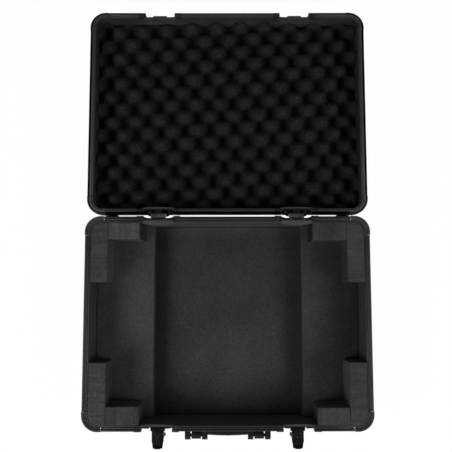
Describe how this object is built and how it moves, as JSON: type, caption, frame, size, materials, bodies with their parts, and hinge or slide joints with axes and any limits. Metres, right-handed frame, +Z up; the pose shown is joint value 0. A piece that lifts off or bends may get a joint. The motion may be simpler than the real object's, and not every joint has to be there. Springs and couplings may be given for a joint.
{
  "type": "equipment case",
  "caption": "moulded equipment case lying open, with a foam-lined base, a lid lined with egg-crate foam, double-throw latches and a bail handle",
  "frame": {"origin": "middle of the base's flat underside, which rests on the floor", "axes": "+X along the case's width to the right seen from the latch side, +Y from the latch and handle side to the hinge side and on over the open lid, +Z up"},
  "size_m": [0.551, 0.8534, 0.1295],
  "materials": {
    "moulded_shell": "fine leather grain",
    "rim_frame": "satin",
    "fixture_plastic": "satin",
    "bright_steel": "turned",
    "dark_steel": "blackened",
    "foot_rubber": "matt",
    "plane_foam": "cut open-cell foam",
    "egg_crate_foam": "open-cell egg-crate foam"
  },
  "bodies": {
    "base": {"base_shell": "moulded_shell", "base_rim_left": "rim_frame", "base_rim_right": "rim_frame", "base_corner_front_left": "rim_frame", "base_corner_front_right": "rim_frame", "base_rim_front_left": "rim_frame", "base_rim_front_middle": "rim_frame", "base_rim_front_right": "rim_frame", "base_corner_rear_left": "rim_frame", "base_corner_rear_right": "rim_frame", "base_rim_rear_left": "rim_frame", "base_rim_rear_middle": "rim_frame", "base_rim_rear_right": "rim_frame", "foam_floor_pad": "plane_foam", "foam_riser_left": "plane_foam", "foam_riser_right": "plane_foam", "foam_side_block_front_left": "plane_foam", "foam_end_block_front_left": "plane_foam", "foam_side_block_rear_left": "plane_foam", "foam_end_block_rear_left": "plane_foam", "foam_side_block_front_right": "plane_foam", "foam_end_block_front_right": "plane_foam", "foam_side_block_rear_right": "plane_foam", "foam_end_block_rear_right": "plane_foam", "hinge_base_leaf_left": "fixture_plastic", "hinge_base_leaf_right": "fixture_plastic", "hinge_pin_left": "bright_steel", "hinge_pin_right": "bright_steel", "latch_plate_left": "fixture_plastic", "latch_plate_right": "fixture_plastic", "latch_arm_pin_left": "bright_steel", "latch_arm_pin_right": "bright_steel", "handle_bracket_left": "fixture_plastic", "handle_bracket_right": "fixture_plastic", "rear_foot_left": "foot_rubber", "rear_foot_right": "foot_rubber"},
    "lid": {"lid_shell": "moulded_shell", "lid_rim_left": "rim_frame", "lid_rim_right": "rim_frame", "lid_corner_front_left": "rim_frame", "lid_corner_front_right": "rim_frame", "lid_rim_front_left": "rim_frame", "lid_rim_front_middle": "rim_frame", "lid_rim_front_right": "rim_frame", "lid_corner_rear_left": "rim_frame", "lid_corner_rear_right": "rim_frame", "lid_rim_rear_left": "rim_frame", "lid_rim_rear_middle": "rim_frame", "lid_rim_rear_right": "rim_frame", "lid_foam": "egg_crate_foam", "hinge_lid_leaf_left": "fixture_plastic", "hinge_lid_leaf_right": "fixture_plastic", "lid_strike_left": "dark_steel", "lid_strike_right": "dark_steel"},
    "handle": {"handle_grip": "fixture_plastic"},
    "latch_arm_left": {"latch_arm_left": "fixture_plastic"},
    "latch_lever_left": {"latch_pull_lever_left": "fixture_plastic"},
    "latch_arm_right": {"latch_arm_right": "fixture_plastic"},
    "latch_lever_right": {"latch_pull_lever_right": "fixture_plastic"}
  },
  "joints": [
    {"name": "lid_hinge", "type": "hinge", "parent": "base", "child": "lid", "pos_m": [0, 0.205, 0.125], "axis": [1, 0, 0], "range_deg": [0, 180]},
    {"name": "handle_swing", "type": "hinge", "parent": "base", "child": "handle", "pos_m": [0, -0.2177, 0.085], "axis": [-1, 0, 0], "range_deg": [0, 90]},
    {"name": "latch_arm_left_swing", "type": "hinge", "parent": "base", "child": "latch_arm_left", "pos_m": [-0.134, -0.2036, 0.097], "axis": [-1, 0, 0], "range_deg": [0, 90]},
    {"name": "latch_lever_left_swing", "type": "hinge", "parent": "latch_arm_left", "child": "latch_lever_left", "pos_m": [-0.134, -0.2208, 0.0911], "axis": [-1, 0, 0], "range_deg": [-90, 0]},
    {"name": "latch_arm_right_swing", "type": "hinge", "parent": "base", "child": "latch_arm_right", "pos_m": [0.134, -0.2036, 0.097], "axis": [-1, 0, 0], "range_deg": [0, 90]},
    {"name": "latch_lever_right_swing", "type": "hinge", "parent": "latch_arm_right", "child": "latch_lever_right", "pos_m": [0.134, -0.2208, 0.0911], "axis": [-1, 0, 0], "range_deg": [-90, 0]}
  ],
  "couplings": [
    {"joint": "latch_lever_left_swing", "follows": "latch_arm_left_swing", "ratio": -1},
    {"joint": "latch_lever_right_swing", "follows": "latch_arm_right_swing", "ratio": -1}
  ]
}
